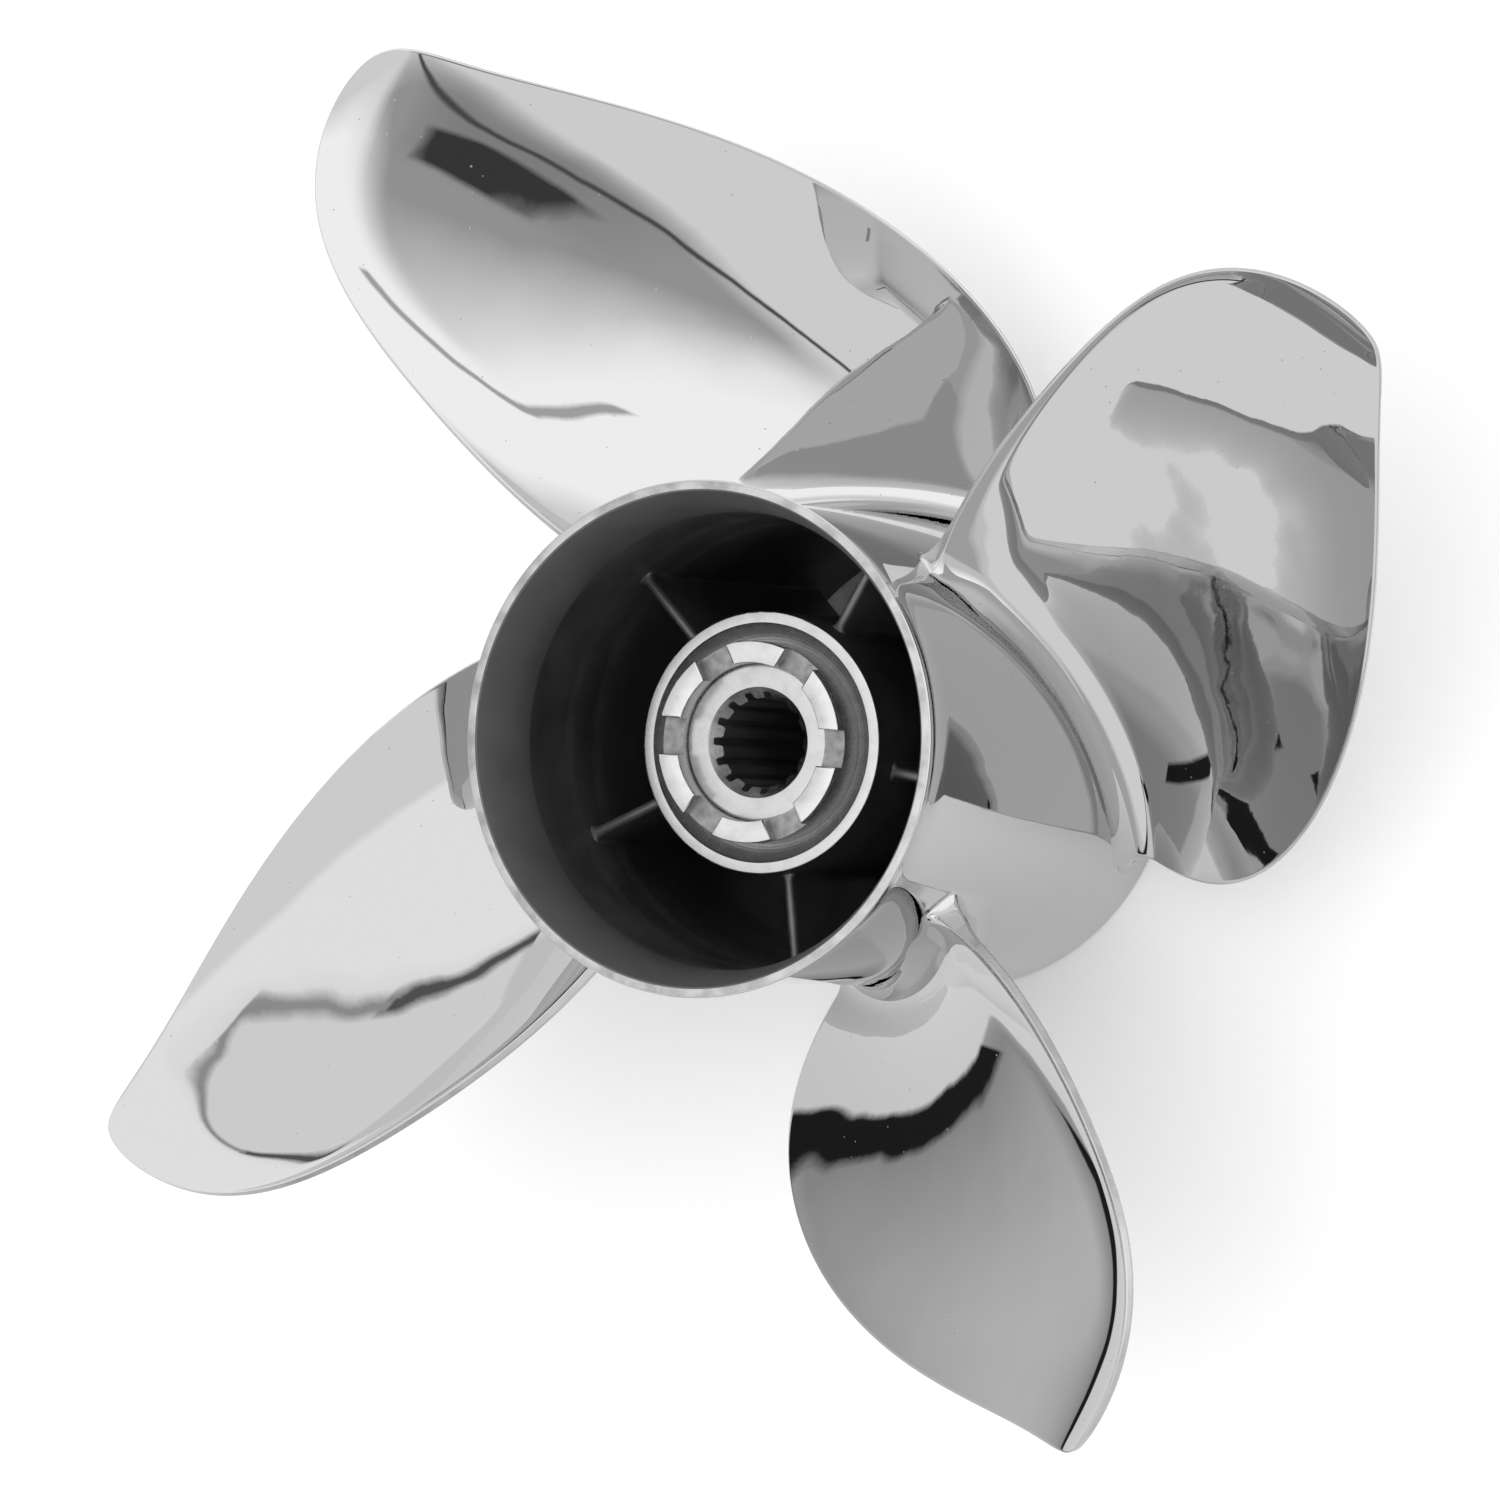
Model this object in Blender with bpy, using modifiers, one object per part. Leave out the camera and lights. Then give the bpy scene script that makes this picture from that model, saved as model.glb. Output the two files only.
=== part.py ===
"""An outboard motor's four-bladed propeller in polished stainless steel, with its exhaust leaving through the hub.

Metres, +Z up. The shaft's axis is Z. The barrel's forward rim stands on z = 0, and the aft end, where the
exhaust leaves, points up. Seen from aft the propeller turns clockwise to drive the boat ahead.
"""

import math

import bmesh
import bpy
from mathutils import Matrix

# Space between neighbours that touch on the real casting
GAP = 0.0003

# Barrel: the outer tube that carries the blades
BARREL_LENGTH = 0.135
BARREL_RADIUS = 0.0535
BARREL_BORE = 0.0494
RIM_RADIUS = 0.05715
RIM_BORE = 0.0549
FLARE_LENGTH = 0.018
FLARE_BORE = 0.0508
FIRST_STEP_Z = 0.098
FIRST_STEP_BORE = 0.0502
SECOND_STEP_Z = 0.086
FRONT_CHAMFER = 0.0008

# Blades: four, with sections that lie on cylinders about the shaft's axis
BLADE_COUNT = 4
BLADE_ROOT_ANGLE = 90.0
TIP_RADIUS = 0.1778
# Control values of smooth curves from the root to the tip
SKEW_DEG = (0.0, 0.0, 3.0, 24.5, 17.5)
HALF_WIDTH_DEG = (35.0, 49.0, 31.0, 18.0)
MID_CHORD_Z = (0.0515, 0.0575, 0.0765, 0.112, 0.120)
PITCH = (0.414, 0.366, 0.524)
ROOT_THICKNESS = 0.0095
TIP_THICKNESS = 0.0030
EDGE_THICKNESS = 0.0022
CAMBER_SHARE = 0.022
CUP_DEPTH = 0.0030
CUP_WIDTH = 0.014
ROOT_FILLET = 0.0075

# Inner hub: a tube on five ribs inside the barrel, with a turned recess in its aft end
TUBE_RADIUS = 0.0293
TUBE_BORE = 0.0240
TUBE_FRONT_Z = 0.006
TUBE_AFT_Z = 0.1032
RECESS_BORE = 0.0266
RECESS_FLOOR_Z = 0.0992
RECESS_CORNER = 0.0015
WEB_FRONT_Z = 0.092
WEB_BORE = 0.0174
RIB_COUNT = 5
FIRST_RIB_ANGLE = 47.5
RIB_THICKNESS = 0.0024
RIB_FRONT_Z = 0.010
RIB_AFT_Z = 0.0955

# Notched collar that stands on the floor of the recess
COLLAR_RADIUS = 0.0225
COLLAR_BORE = 0.0176
COLLAR_AFT_Z = 0.1097
NOTCH_COUNT = 6
NOTCH_WIDTH = 0.0082
NOTCH_DEPTH = 0.0030
FIRST_NOTCH_ANGLE = 43.5

# Rubber bush and the splined sleeve bonded into it
SLEEVE_RADIUS = 0.0168
SLEEVE_FRONT_Z = 0.003
SLEEVE_AFT_Z = 0.1047
SLEEVE_CHAMFER = 0.0012
COUNTERBORE_RADIUS = 0.0124
COUNTERBORE_DEPTH = 0.0023
SPLINE_COUNT = 15
SPLINE_TIP_RADIUS = 0.0100
GROOVE_RADIUS = 0.0122
GROOVE_WIDTH = 0.0022
BUSH_FRONT_Z = 0.009

# Fineness of the solids
BARREL_STEPS = 72
HUB_STEPS = 60
FLARE_POINTS = 5
FACE_POINTS = 13
END_POINTS = 3
BLADE_STATIONS = 13
FILLET_HEIGHTS = (0.0003, 0.001, 0.0022, 0.004)


def clear_scene():
    """Removes what the scene holds, so that the script can be run again."""
    for obj in list(bpy.data.objects):
        bpy.data.objects.remove(obj, do_unlink=True)


def new_collection(name):
    collection = bpy.data.collections.new(name)
    bpy.context.scene.collection.children.link(collection)
    return collection


def new_material(name, grey, roughness, metallic):
    material = bpy.data.materials.new(name)
    material.use_nodes = True
    shader = material.node_tree.nodes["Principled BSDF"]
    shader.inputs["Base Color"].default_value = (grey, grey, grey, 1.0)
    shader.inputs["Roughness"].default_value = roughness
    shader.inputs["Metallic"].default_value = metallic
    return material


def new_object(name, data, collection, material=None):
    obj = bpy.data.objects.new(name, data)
    collection.objects.link(obj)
    if material:
        data.materials.append(material)
    return obj


def shaft_turn(degrees):
    """A turn about the shaft's axis."""
    return Matrix.Rotation(math.radians(degrees), 4, "Z")


def arc(centre_x, centre_z, radius, start_deg, end_deg, points):
    """Points along an arc in the X, Z plane."""
    found = []
    for i in range(points):
        angle = math.radians(start_deg + (end_deg - start_deg) * i / (points - 1))
        found.append((centre_x + radius * math.cos(angle), centre_z + radius * math.sin(angle)))
    return found


def flare(radius, rim_radius):
    """Profile of the flare from the rim down to where it meets the cylinder, tangent to the cylinder."""
    rise = rim_radius - radius
    bend = (FLARE_LENGTH**2 + rise**2) / (2 * rise)
    end = math.degrees(math.asin(FLARE_LENGTH / bend))
    return arc(radius + bend, BARREL_LENGTH - FLARE_LENGTH, bend, 180 - end, 180, FLARE_POINTS)


def turned(name, profile, steps, collection, material=None):
    """A closed profile in the X, Z plane turned about the shaft's axis; it runs down its outer side."""
    mesh = bpy.data.meshes.new(name)
    build = bmesh.new()
    corners = [build.verts.new((x, 0.0, z)) for x, z in profile]
    for corner, following in zip(corners, corners[1:] + corners[:1]):
        build.edges.new((corner, following))
    build.to_mesh(mesh)
    build.free()
    obj = new_object(name, mesh, collection, material)
    screw = obj.modifiers.new("Turned", "SCREW")
    screw.axis = "Z"
    screw.steps = steps
    screw.render_steps = steps
    screw.use_merge_vertices = True
    screw.merge_threshold = 0.00001
    return obj


def cutter_of_bars(name, boxes, collection):
    """One cutter made of boxes, each given as (size, place, turn in degrees about the shaft's axis)."""
    mesh = bpy.data.meshes.new(name)
    build = bmesh.new()
    for size, place, degrees in boxes:
        matrix = shaft_turn(degrees) @ Matrix.Translation(place) @ Matrix.Diagonal((*size, 1.0))
        bmesh.ops.create_cube(build, size=1.0, matrix=matrix)
    build.to_mesh(mesh)
    build.free()
    obj = new_object(name, mesh, collection)
    obj.hide_render = True
    obj.display_type = "WIRE"
    return obj


def cut(obj, cutter):
    boolean = obj.modifiers.new("Cut by " + cutter.name, "BOOLEAN")
    boolean.operation = "DIFFERENCE"
    boolean.object = cutter
    boolean.solver = "EXACT"


def barrel_bore_profile():
    """The barrel's inner side, from the front rim up to the flare: two cast steps widen it."""
    return [
        (BARREL_BORE + FRONT_CHAMFER, 0.0),
        (BARREL_BORE, FRONT_CHAMFER),
        (BARREL_BORE, SECOND_STEP_Z),
        (FIRST_STEP_BORE - GAP, SECOND_STEP_Z + GAP),
        (FIRST_STEP_BORE, FIRST_STEP_Z),
        (FLARE_BORE, FIRST_STEP_Z + GAP),
    ]


def barrel(collection, material):
    profile = flare(BARREL_RADIUS, RIM_RADIUS)
    profile += [(BARREL_RADIUS, FRONT_CHAMFER), (BARREL_RADIUS - FRONT_CHAMFER, 0.0)]
    profile += barrel_bore_profile()
    profile += reversed(flare(FLARE_BORE, RIM_BORE))
    return turned("barrel", profile, BARREL_STEPS, collection, material)


def smooth_curve(values, x):
    """The Bernstein curve of these control values at x, from 0 to 1."""
    degree = len(values) - 1
    return sum(
        math.comb(degree, i) * x**i * (1 - x) ** (degree - i) * value
        for i, value in enumerate(values)
    )


class BladeSection:
    """The blade's section on the cylinder of one radius, in a plane unrolled from that cylinder.

    Its first coordinate runs along the chord, from the leading to the trailing edge, and its second across
    it, towards aft.
    """

    def __init__(self, radius):
        x = (radius - BARREL_RADIUS) / (TIP_RADIUS - BARREL_RADIUS)
        self.radius = radius
        self.middle = math.radians(BLADE_ROOT_ANGLE + smooth_curve(SKEW_DEG, x))
        self.middle_z = smooth_curve(MID_CHORD_Z, x)
        self.slope = math.atan2(smooth_curve(PITCH, x), 2 * math.pi * radius)
        half_angle = math.radians(smooth_curve(HALF_WIDTH_DEG, x)) * math.sqrt(max(1 - x, 0.0))
        self.half_chord = half_angle * radius / math.cos(self.slope)
        self.thickness = ROOT_THICKNESS + (TIP_THICKNESS - ROOT_THICKNESS) * math.sqrt(max(x, 0.0))
        self.end_radius = EDGE_THICKNESS / 2

    def mean_line(self, share):
        """How far the section's middle lies aft of its chord, at a share from -1, leading, to 1, trailing."""
        camber = 2 * CAMBER_SHARE * self.half_chord * (1 - share**2)
        cup_start = 1 - min(1.0, CUP_WIDTH / max(self.half_chord, CUP_WIDTH))
        rise = max(0.0, (share - cup_start) / (1 - cup_start)) ** 2
        depth = CUP_DEPTH * min(1.0, self.half_chord / (2 * CUP_WIDTH))
        return -camber - depth * ((1 + share) / 2 - rise)

    def loop(self):
        """The section's closed outline: the aft face from leading to trailing edge, then the forward face back."""
        reach = max(self.half_chord - self.end_radius, 0.0)
        belly = (self.thickness / 2 - self.end_radius) * min(1.0, reach / CUP_WIDTH)
        aft, forward = [], []
        for i in range(FACE_POINTS):
            share = -math.cos(math.pi * i / (FACE_POINTS - 1))
            half = self.end_radius + belly * (1 - share**2)
            across = self.mean_line(share)
            aft.append((reach * share, across + half))
            forward.append((reach * share, across - half))
        trailing = self.rounded_end(reach, 1)
        leading = self.rounded_end(-reach, -1)
        return aft + trailing + forward[::-1] + leading

    def rounded_end(self, along, side):
        """Points between the two faces at the trailing (side 1) or leading (side -1) edge."""
        across = self.mean_line(float(side))
        points = []
        for i in range(1, END_POINTS + 1):
            angle = math.pi / 2 - math.pi * i / (END_POINTS + 1)
            x = along + side * self.end_radius * math.cos(angle)
            points.append((x, across + side * self.end_radius * math.sin(angle)))
        return points

    def place(self, along, across):
        """The point of the unrolled plane, put back on the cylinder."""
        around = along * math.cos(self.slope) - across * math.sin(self.slope)
        angle = self.middle + around / self.radius
        z = self.middle_z + along * math.sin(self.slope) + across * math.cos(self.slope)
        return self.radius * math.cos(angle), self.radius * math.sin(angle), z


def grown(loop, distance):
    """The closed outline moved outwards by a distance."""
    found = []
    for before, here, after in zip(loop[-1:] + loop[:-1], loop, loop[1:] + loop[:1]):
        step = (after[0] - before[0], after[1] - before[1])
        length = math.hypot(*step)
        found.append((here[0] - step[1] / length * distance, here[1] + step[0] / length * distance))
    return found


def narrowed(loop, share):
    """The closed outline drawn in towards the line halfway between its two faces."""
    found = []
    for i, (along, across) in enumerate(loop):
        facing = loop[(2 * FACE_POINTS + END_POINTS - 1 - i) % len(loop)]
        middle = ((along + facing[0]) / 2, (across + facing[1]) / 2)
        found.append(tuple(m + (p - m) * share for m, p in zip(middle, (along, across))))
    return found


def blade_mesh():
    """A blade with its root fillet: section outlines joined one to the next, and closed at the root and the tip."""
    rings = []
    root = BladeSection(BARREL_RADIUS + FILLET_HEIGHTS[0])
    for share in (0.0, 0.5):
        rings.append((root, narrowed(root_outline(root), share)))
    for height in FILLET_HEIGHTS:
        section = BladeSection(BARREL_RADIUS + height)
        rings.append((section, root_outline(section)))
    for i in range(BLADE_STATIONS):
        turn = math.pi / 2 * i / (BLADE_STATIONS - 1)
        start = BARREL_RADIUS + ROOT_FILLET
        section = BladeSection(start + (TIP_RADIUS - start) * math.sin(turn))
        rings.append((section, section.loop()))
    tip = rings[-1]
    rings.append((tip[0], narrowed(tip[1], 0.0)))
    build = bmesh.new()
    rows = [[build.verts.new(section.place(*point)) for point in loop] for section, loop in rings]
    for row, following in zip(rows, rows[1:]):
        for i in range(len(row)):
            j = (i + 1) % len(row)
            build.faces.new((row[i], row[j], following[j], following[i]))
    bmesh.ops.remove_doubles(build, verts=build.verts, dist=0.000002)
    bmesh.ops.recalc_face_normals(build, faces=build.faces)
    mesh = bpy.data.meshes.new("blade")
    build.to_mesh(mesh)
    build.free()
    return mesh


def root_outline(section):
    """The section's outline widened by the fillet that runs round the blade's root."""
    height = section.radius - BARREL_RADIUS
    widening = ROOT_FILLET - math.sqrt(ROOT_FILLET**2 - (ROOT_FILLET - height) ** 2)
    return grown(section.loop(), widening)


def blades(collection, material):
    """Every blade is a copy of the first, a quarter turn on."""
    mesh = blade_mesh()
    mesh.materials.append(material)
    for i in range(BLADE_COUNT):
        blade = new_object("blade_" + str(i + 1), mesh, collection)
        blade.matrix_world = shaft_turn(-360 / BLADE_COUNT * i)


def inner_tube(collection, material):
    """The tube that holds the bush, with a web across its aft end that the collar stands on."""
    corner = arc(
        RECESS_BORE - RECESS_CORNER, RECESS_FLOOR_Z + RECESS_CORNER, RECESS_CORNER, -90, 0, 4
    )
    profile = [
        (TUBE_RADIUS - FRONT_CHAMFER / 2, TUBE_AFT_Z),
        (TUBE_RADIUS, TUBE_AFT_Z - FRONT_CHAMFER / 2),
        (TUBE_RADIUS, TUBE_FRONT_Z + FRONT_CHAMFER),
        (TUBE_RADIUS - FRONT_CHAMFER, TUBE_FRONT_Z),
        (TUBE_BORE + FRONT_CHAMFER, TUBE_FRONT_Z),
        (TUBE_BORE, TUBE_FRONT_Z + FRONT_CHAMFER),
        (TUBE_BORE, WEB_FRONT_Z),
        (WEB_BORE, WEB_FRONT_Z),
        (WEB_BORE, RECESS_FLOOR_Z),
        *corner,
        (RECESS_BORE, TUBE_AFT_Z),
    ]
    return turned("inner_hub_tube", profile, HUB_STEPS, collection, material)


def rib_outline():
    """A rib's outline in the plane of the axis: along the tube, across the front, up the barrel's bore."""
    wall = [(x - GAP, z) for x, z in barrel_bore_profile()[2:5] if z < RIB_AFT_Z]
    inner = TUBE_RADIUS + GAP
    return [
        (inner, RIB_AFT_Z),
        (inner, RIB_FRONT_Z),
        (BARREL_BORE - GAP, RIB_FRONT_Z),
        *wall,
        (wall[-1][0], RIB_AFT_Z),
    ]


def ribs(collection, material):
    """Five flat ribs with rounded edges, which carry the inner hub in the barrel."""
    outline = rib_outline()
    curve = bpy.data.curves.new("rib", "CURVE")
    curve.dimensions = "2D"
    curve.fill_mode = "BOTH"
    curve.extrude = RIB_THICKNESS / 2
    spline = curve.splines.new("POLY")
    spline.points.add(len(outline) - 1)
    for point, (x, z) in zip(spline.points, outline):
        point.co = (x, z, 0.0, 1.0)
    spline.use_cyclic_u = True
    curve.materials.append(material)
    upright = Matrix.Rotation(math.pi / 2, 4, "X")
    for i in range(RIB_COUNT):
        rib = new_object("rib_" + str(i + 1), curve, collection)
        rib.matrix_world = shaft_turn(FIRST_RIB_ANGLE + 360 / RIB_COUNT * i) @ upright
        weld = rib.modifiers.new("Weld", "WELD")
        weld.merge_threshold = 0.00001
        bevel = rib.modifiers.new("Rounded edges", "BEVEL")
        bevel.width = RIB_THICKNESS * 0.35
        bevel.segments = 2
        bevel.limit_method = "ANGLE"


def notched_collar(collection, cutters, material):
    """A ring whose aft face is cut by notches that a tabbed washer can engage."""
    foot = RECESS_FLOOR_Z + GAP
    profile = [
        (COLLAR_RADIUS, COLLAR_AFT_Z),
        (COLLAR_RADIUS, foot),
        (COLLAR_BORE, foot),
        (COLLAR_BORE, COLLAR_AFT_Z),
    ]
    collar = turned("notched_collar", profile, HUB_STEPS, collection, material)
    size = (3 * COLLAR_RADIUS, NOTCH_WIDTH, 2 * NOTCH_DEPTH)
    place = (0.0, 0.0, COLLAR_AFT_Z)
    for i in range(NOTCH_COUNT // 2):
        bar = (size, place, FIRST_NOTCH_ANGLE + 360 / NOTCH_COUNT * i)
        cut(collar, cutter_of_bars("notch_bar_" + str(i + 1), [bar], cutters))
    return collar


def rubber_bush(collection, material):
    """The rubber between the sleeve and the inner hub, which slips if a blade strikes something."""
    aft = WEB_FRONT_Z - GAP
    outer, inner = TUBE_BORE - GAP, SLEEVE_RADIUS + GAP
    profile = [(outer, aft), (outer, BUSH_FRONT_Z), (inner, BUSH_FRONT_Z), (inner, aft)]
    return turned("rubber_bush", profile, HUB_STEPS, collection, material)


def splined_sleeve(collection, cutters, material):
    """The sleeve that slides on the splined shaft, counterbored at both ends."""
    mouth = COUNTERBORE_DEPTH
    profile = [
        (SLEEVE_RADIUS - SLEEVE_CHAMFER, SLEEVE_AFT_Z),
        (SLEEVE_RADIUS, SLEEVE_AFT_Z - SLEEVE_CHAMFER),
        (SLEEVE_RADIUS, SLEEVE_FRONT_Z + SLEEVE_CHAMFER),
        (SLEEVE_RADIUS - SLEEVE_CHAMFER, SLEEVE_FRONT_Z),
        (COUNTERBORE_RADIUS, SLEEVE_FRONT_Z),
        (COUNTERBORE_RADIUS, SLEEVE_FRONT_Z + mouth),
        (SPLINE_TIP_RADIUS, SLEEVE_FRONT_Z + mouth),
        (SPLINE_TIP_RADIUS, SLEEVE_AFT_Z - mouth),
        (COUNTERBORE_RADIUS, SLEEVE_AFT_Z - mouth),
        (COUNTERBORE_RADIUS, SLEEVE_AFT_Z),
    ]
    sleeve = turned("splined_sleeve", profile, HUB_STEPS, collection, material)
    deep = GROOVE_RADIUS - SPLINE_TIP_RADIUS / 2
    size = (deep, GROOVE_WIDTH, 2 * BARREL_LENGTH)
    place = (GROOVE_RADIUS - deep / 2, 0.0, BARREL_LENGTH / 2)
    bars = [(size, place, 360 / SPLINE_COUNT * i) for i in range(SPLINE_COUNT)]
    cut(sleeve, cutter_of_bars("spline_grooves", bars, cutters))
    return sleeve


def shade(collection):
    for obj in collection.objects:
        if obj.type == "MESH":
            obj.data.shade_smooth()
            obj.data.set_sharp_from_angle(angle=math.radians(35))


def main():
    clear_scene()
    parts = new_collection("outboard_propeller")
    cutters = new_collection("cutters")
    polished = new_material("polished stainless steel", 0.78, 0.06, 1.0)
    cast = new_material("cast stainless steel", 0.16, 0.45, 1.0)
    machined = new_material("machined stainless steel", 0.72, 0.28, 1.0)
    rubber = new_material("black rubber", 0.03, 0.7, 0.0)
    barrel(parts, polished)
    blades(parts, polished)
    inner_tube(parts, machined)
    ribs(parts, cast)
    notched_collar(parts, cutters, machined)
    rubber_bush(parts, rubber)
    splined_sleeve(parts, cutters, machined)
    shade(parts)


main()
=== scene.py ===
"""Dresses an outboard motor's four-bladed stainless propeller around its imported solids.

Lengths are in metres and +Z is up. Angles are in degrees where a part or a card states them, and in radians
once they are worked with. The shaft's axis is Z. The barrel's forward rim stands on the floor at z = 0, and
its aft end, where the exhaust leaves, points up at the camera.
"""

import logging
import math
from collections.abc import Callable, Sequence
from dataclasses import dataclass
from enum import Enum

import bmesh
import bpy
from bmesh.types import BMEdge, BMesh, BMLayerItem, BMVert
from mathutils import Matrix, Vector, noise


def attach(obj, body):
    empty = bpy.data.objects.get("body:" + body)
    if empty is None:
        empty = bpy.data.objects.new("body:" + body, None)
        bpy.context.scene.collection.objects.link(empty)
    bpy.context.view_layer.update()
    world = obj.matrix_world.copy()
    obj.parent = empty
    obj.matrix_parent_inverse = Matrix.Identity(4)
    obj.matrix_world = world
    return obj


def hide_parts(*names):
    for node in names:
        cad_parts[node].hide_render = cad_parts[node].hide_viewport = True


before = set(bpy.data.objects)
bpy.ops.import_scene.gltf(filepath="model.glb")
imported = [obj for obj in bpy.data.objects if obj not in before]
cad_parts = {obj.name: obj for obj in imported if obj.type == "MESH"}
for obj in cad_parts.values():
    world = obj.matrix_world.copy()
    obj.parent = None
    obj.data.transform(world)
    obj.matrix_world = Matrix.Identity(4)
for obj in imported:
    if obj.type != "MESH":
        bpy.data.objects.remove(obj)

LOG = logging.getLogger("propeller")
BODY = "root"

# In metres: vertices that lie closer than this are merged, and a face closer than this to a height or a
# radius counts as lying on it
MERGE = 0.000002
NEAR = 0.0001

# How far a face's normal points along the shaft's axis: above the first the face looks aft, and below the
# second it is a wall
LEVEL = 0.9
UPRIGHT = 0.2

Point2 = tuple[float, float]
Socket = bpy.types.NodeSocket


class Slot(Enum):
    """The record's material slots."""

    POLISHED = "polished_steel"
    MACHINED = "machined_steel"
    CAST = "cast_steel"
    RUBBER = "black_rubber"


# Node graphs


class Graph:
    """Builds the nodes of one material or world, with short names for what is used often."""

    def __init__(self, tree: bpy.types.NodeTree) -> None:
        """Empties the node tree that is to be filled."""
        tree.nodes.clear()
        self.tree = tree

    def add(self, kind: str, sockets: dict | None = None, **settings: object) -> bpy.types.Node:
        """Adds a node.

        Args:
            kind: The node's type.
            sockets: Values or links for its inputs, by name or number.
            settings: Values for its properties.
        """
        node = self.tree.nodes.new(kind)
        for name, value in settings.items():
            setattr(node, name, value)
        for key, value in (sockets or {}).items():
            if isinstance(value, Socket):
                self.tree.links.new(value, node.inputs[key])
            else:
                node.inputs[key].default_value = value
        return node

    def math(self, operation: str, *values: object) -> Socket:
        """The output of a Math node for some numbers or sockets."""
        return self.add("ShaderNodeMath", dict(enumerate(values)), operation=operation).outputs[0]

    def position(self) -> Socket:
        """The place on the object, in metres."""
        return self.add("ShaderNodeTexCoord").outputs["Object"]

    def grain(self, where: Socket, scale: float, detail: float = 2.0) -> Socket:
        """Noise from 0 to 1, by its cells per metre and its octaves."""
        sockets = {"Vector": where, "Scale": scale, "Detail": detail}
        return self.add("ShaderNodeTexNoise", sockets).outputs["Fac"]

    def spread(self, value: Socket, low: float, high: float, edges: Point2 = (0.0, 1.0)) -> Socket:
        """A value mapped so that its two edges give low and high, and held between them."""
        sockets = {"Value": value, "From Min": edges[0], "From Max": edges[1], "To Min": low, "To Max": high}
        return self.add("ShaderNodeMapRange", sockets).outputs["Result"]

    def grey(self, value: Socket) -> Socket:
        """A colour with the same value in its three channels."""
        return self.add("ShaderNodeCombineColor", {"Red": value, "Green": value, "Blue": value}).outputs[0]

    def bump(self, height: Socket, depth: float, below: Socket | None = None) -> Socket:
        """The normal of a bump, of which a height of 1 is a depth in metres, on a coarser bump's normal."""
        sockets = {"Height": height, "Distance": depth}
        if below:
            sockets["Normal"] = below
        return self.add("ShaderNodeBump", sockets).outputs["Normal"]

    def dot(self, way: Socket, axis: Vector) -> Socket:
        """The share of a direction along an axis."""
        return self.add("ShaderNodeVectorMath", {0: way, 1: axis}, operation="DOT_PRODUCT").outputs["Value"]

    def mix(self, share: Socket, first: Socket, second: float) -> Socket:
        """The first value where the share is 0, and the second where it is 1."""
        return self.add("ShaderNodeMix", {0: share, 2: first, 3: second}).outputs[0]

    def shade(self, sockets: dict) -> None:
        """Ends a material's nodes with a shader that has these inputs."""
        shader = self.add("ShaderNodeBsdfPrincipled", sockets)
        self.add("ShaderNodeOutputMaterial", {"Surface": shader.outputs[0]})


def new_material(name: str) -> tuple[bpy.types.Material, Graph]:
    """A new material and its nodes, of which there are none yet."""
    made = bpy.data.materials.new(name)
    made.use_nodes = True
    return made, Graph(made.node_tree)


# Finishes

# Nearly all values of a noise lie between these
MOST_NOISE: Point2 = (0.3, 0.7)


@dataclass(frozen=True)
class Finish:
    """A finish of the propeller: patches of grey and gloss, to which each kind of finish adds its relief."""

    name: str
    greys: Point2
    roughness: Point2
    patch_scale: float
    patch_detail: float = 4.0
    patch_edges: Point2 = MOST_NOISE
    metallic: float = 1.0

    def material(self) -> bpy.types.Material:
        """The finish as a material, made once."""
        found = bpy.data.materials.get(self.name)
        if found:
            return found
        made, graph = new_material(self.name)
        where = graph.position()
        patches = graph.grain(where, self.patch_scale, self.patch_detail)
        sockets = self.relief(graph, where)
        if "Base Color" not in sockets:
            sockets["Base Color"] = graph.grey(graph.spread(patches, *self.greys, self.patch_edges))
        sockets["Roughness"] = graph.spread(patches, *self.roughness, MOST_NOISE)
        graph.shade({"Metallic": self.metallic, **sockets})
        return made

    def relief(self, graph: Graph, where: Socket) -> dict:
        """The shader's inputs that a kind of finish adds: its bump, and its colour if it has its own."""
        raise NotImplementedError


@dataclass(frozen=True)
class Grained(Finish):
    """A surface with a fine grain, such as a casting's."""

    roughness: Point2 = (0.38, 0.55)
    patch_scale: float = 70.0
    grain_scale: float = 900.0
    grain_detail: float = 4.0
    depth: float = 0.00006

    def relief(self, graph: Graph, where: Socket) -> dict:
        """The bump of the grain."""
        return {"Normal": graph.bump(graph.grain(where, self.grain_scale, self.grain_detail), self.depth)}


@dataclass(frozen=True)
class BeltGround(Grained):
    """A narrow face ground on a belt, such as the rim or the blades' edges."""

    roughness: Point2 = (0.20, 0.34)
    patch_scale: float = 180.0
    patch_detail: float = 3.0
    patch_edges: Point2 = (0.35, 0.6)
    grain_scale: float = 2600.0
    grain_detail: float = 3.0
    depth: float = 0.00002


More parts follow.
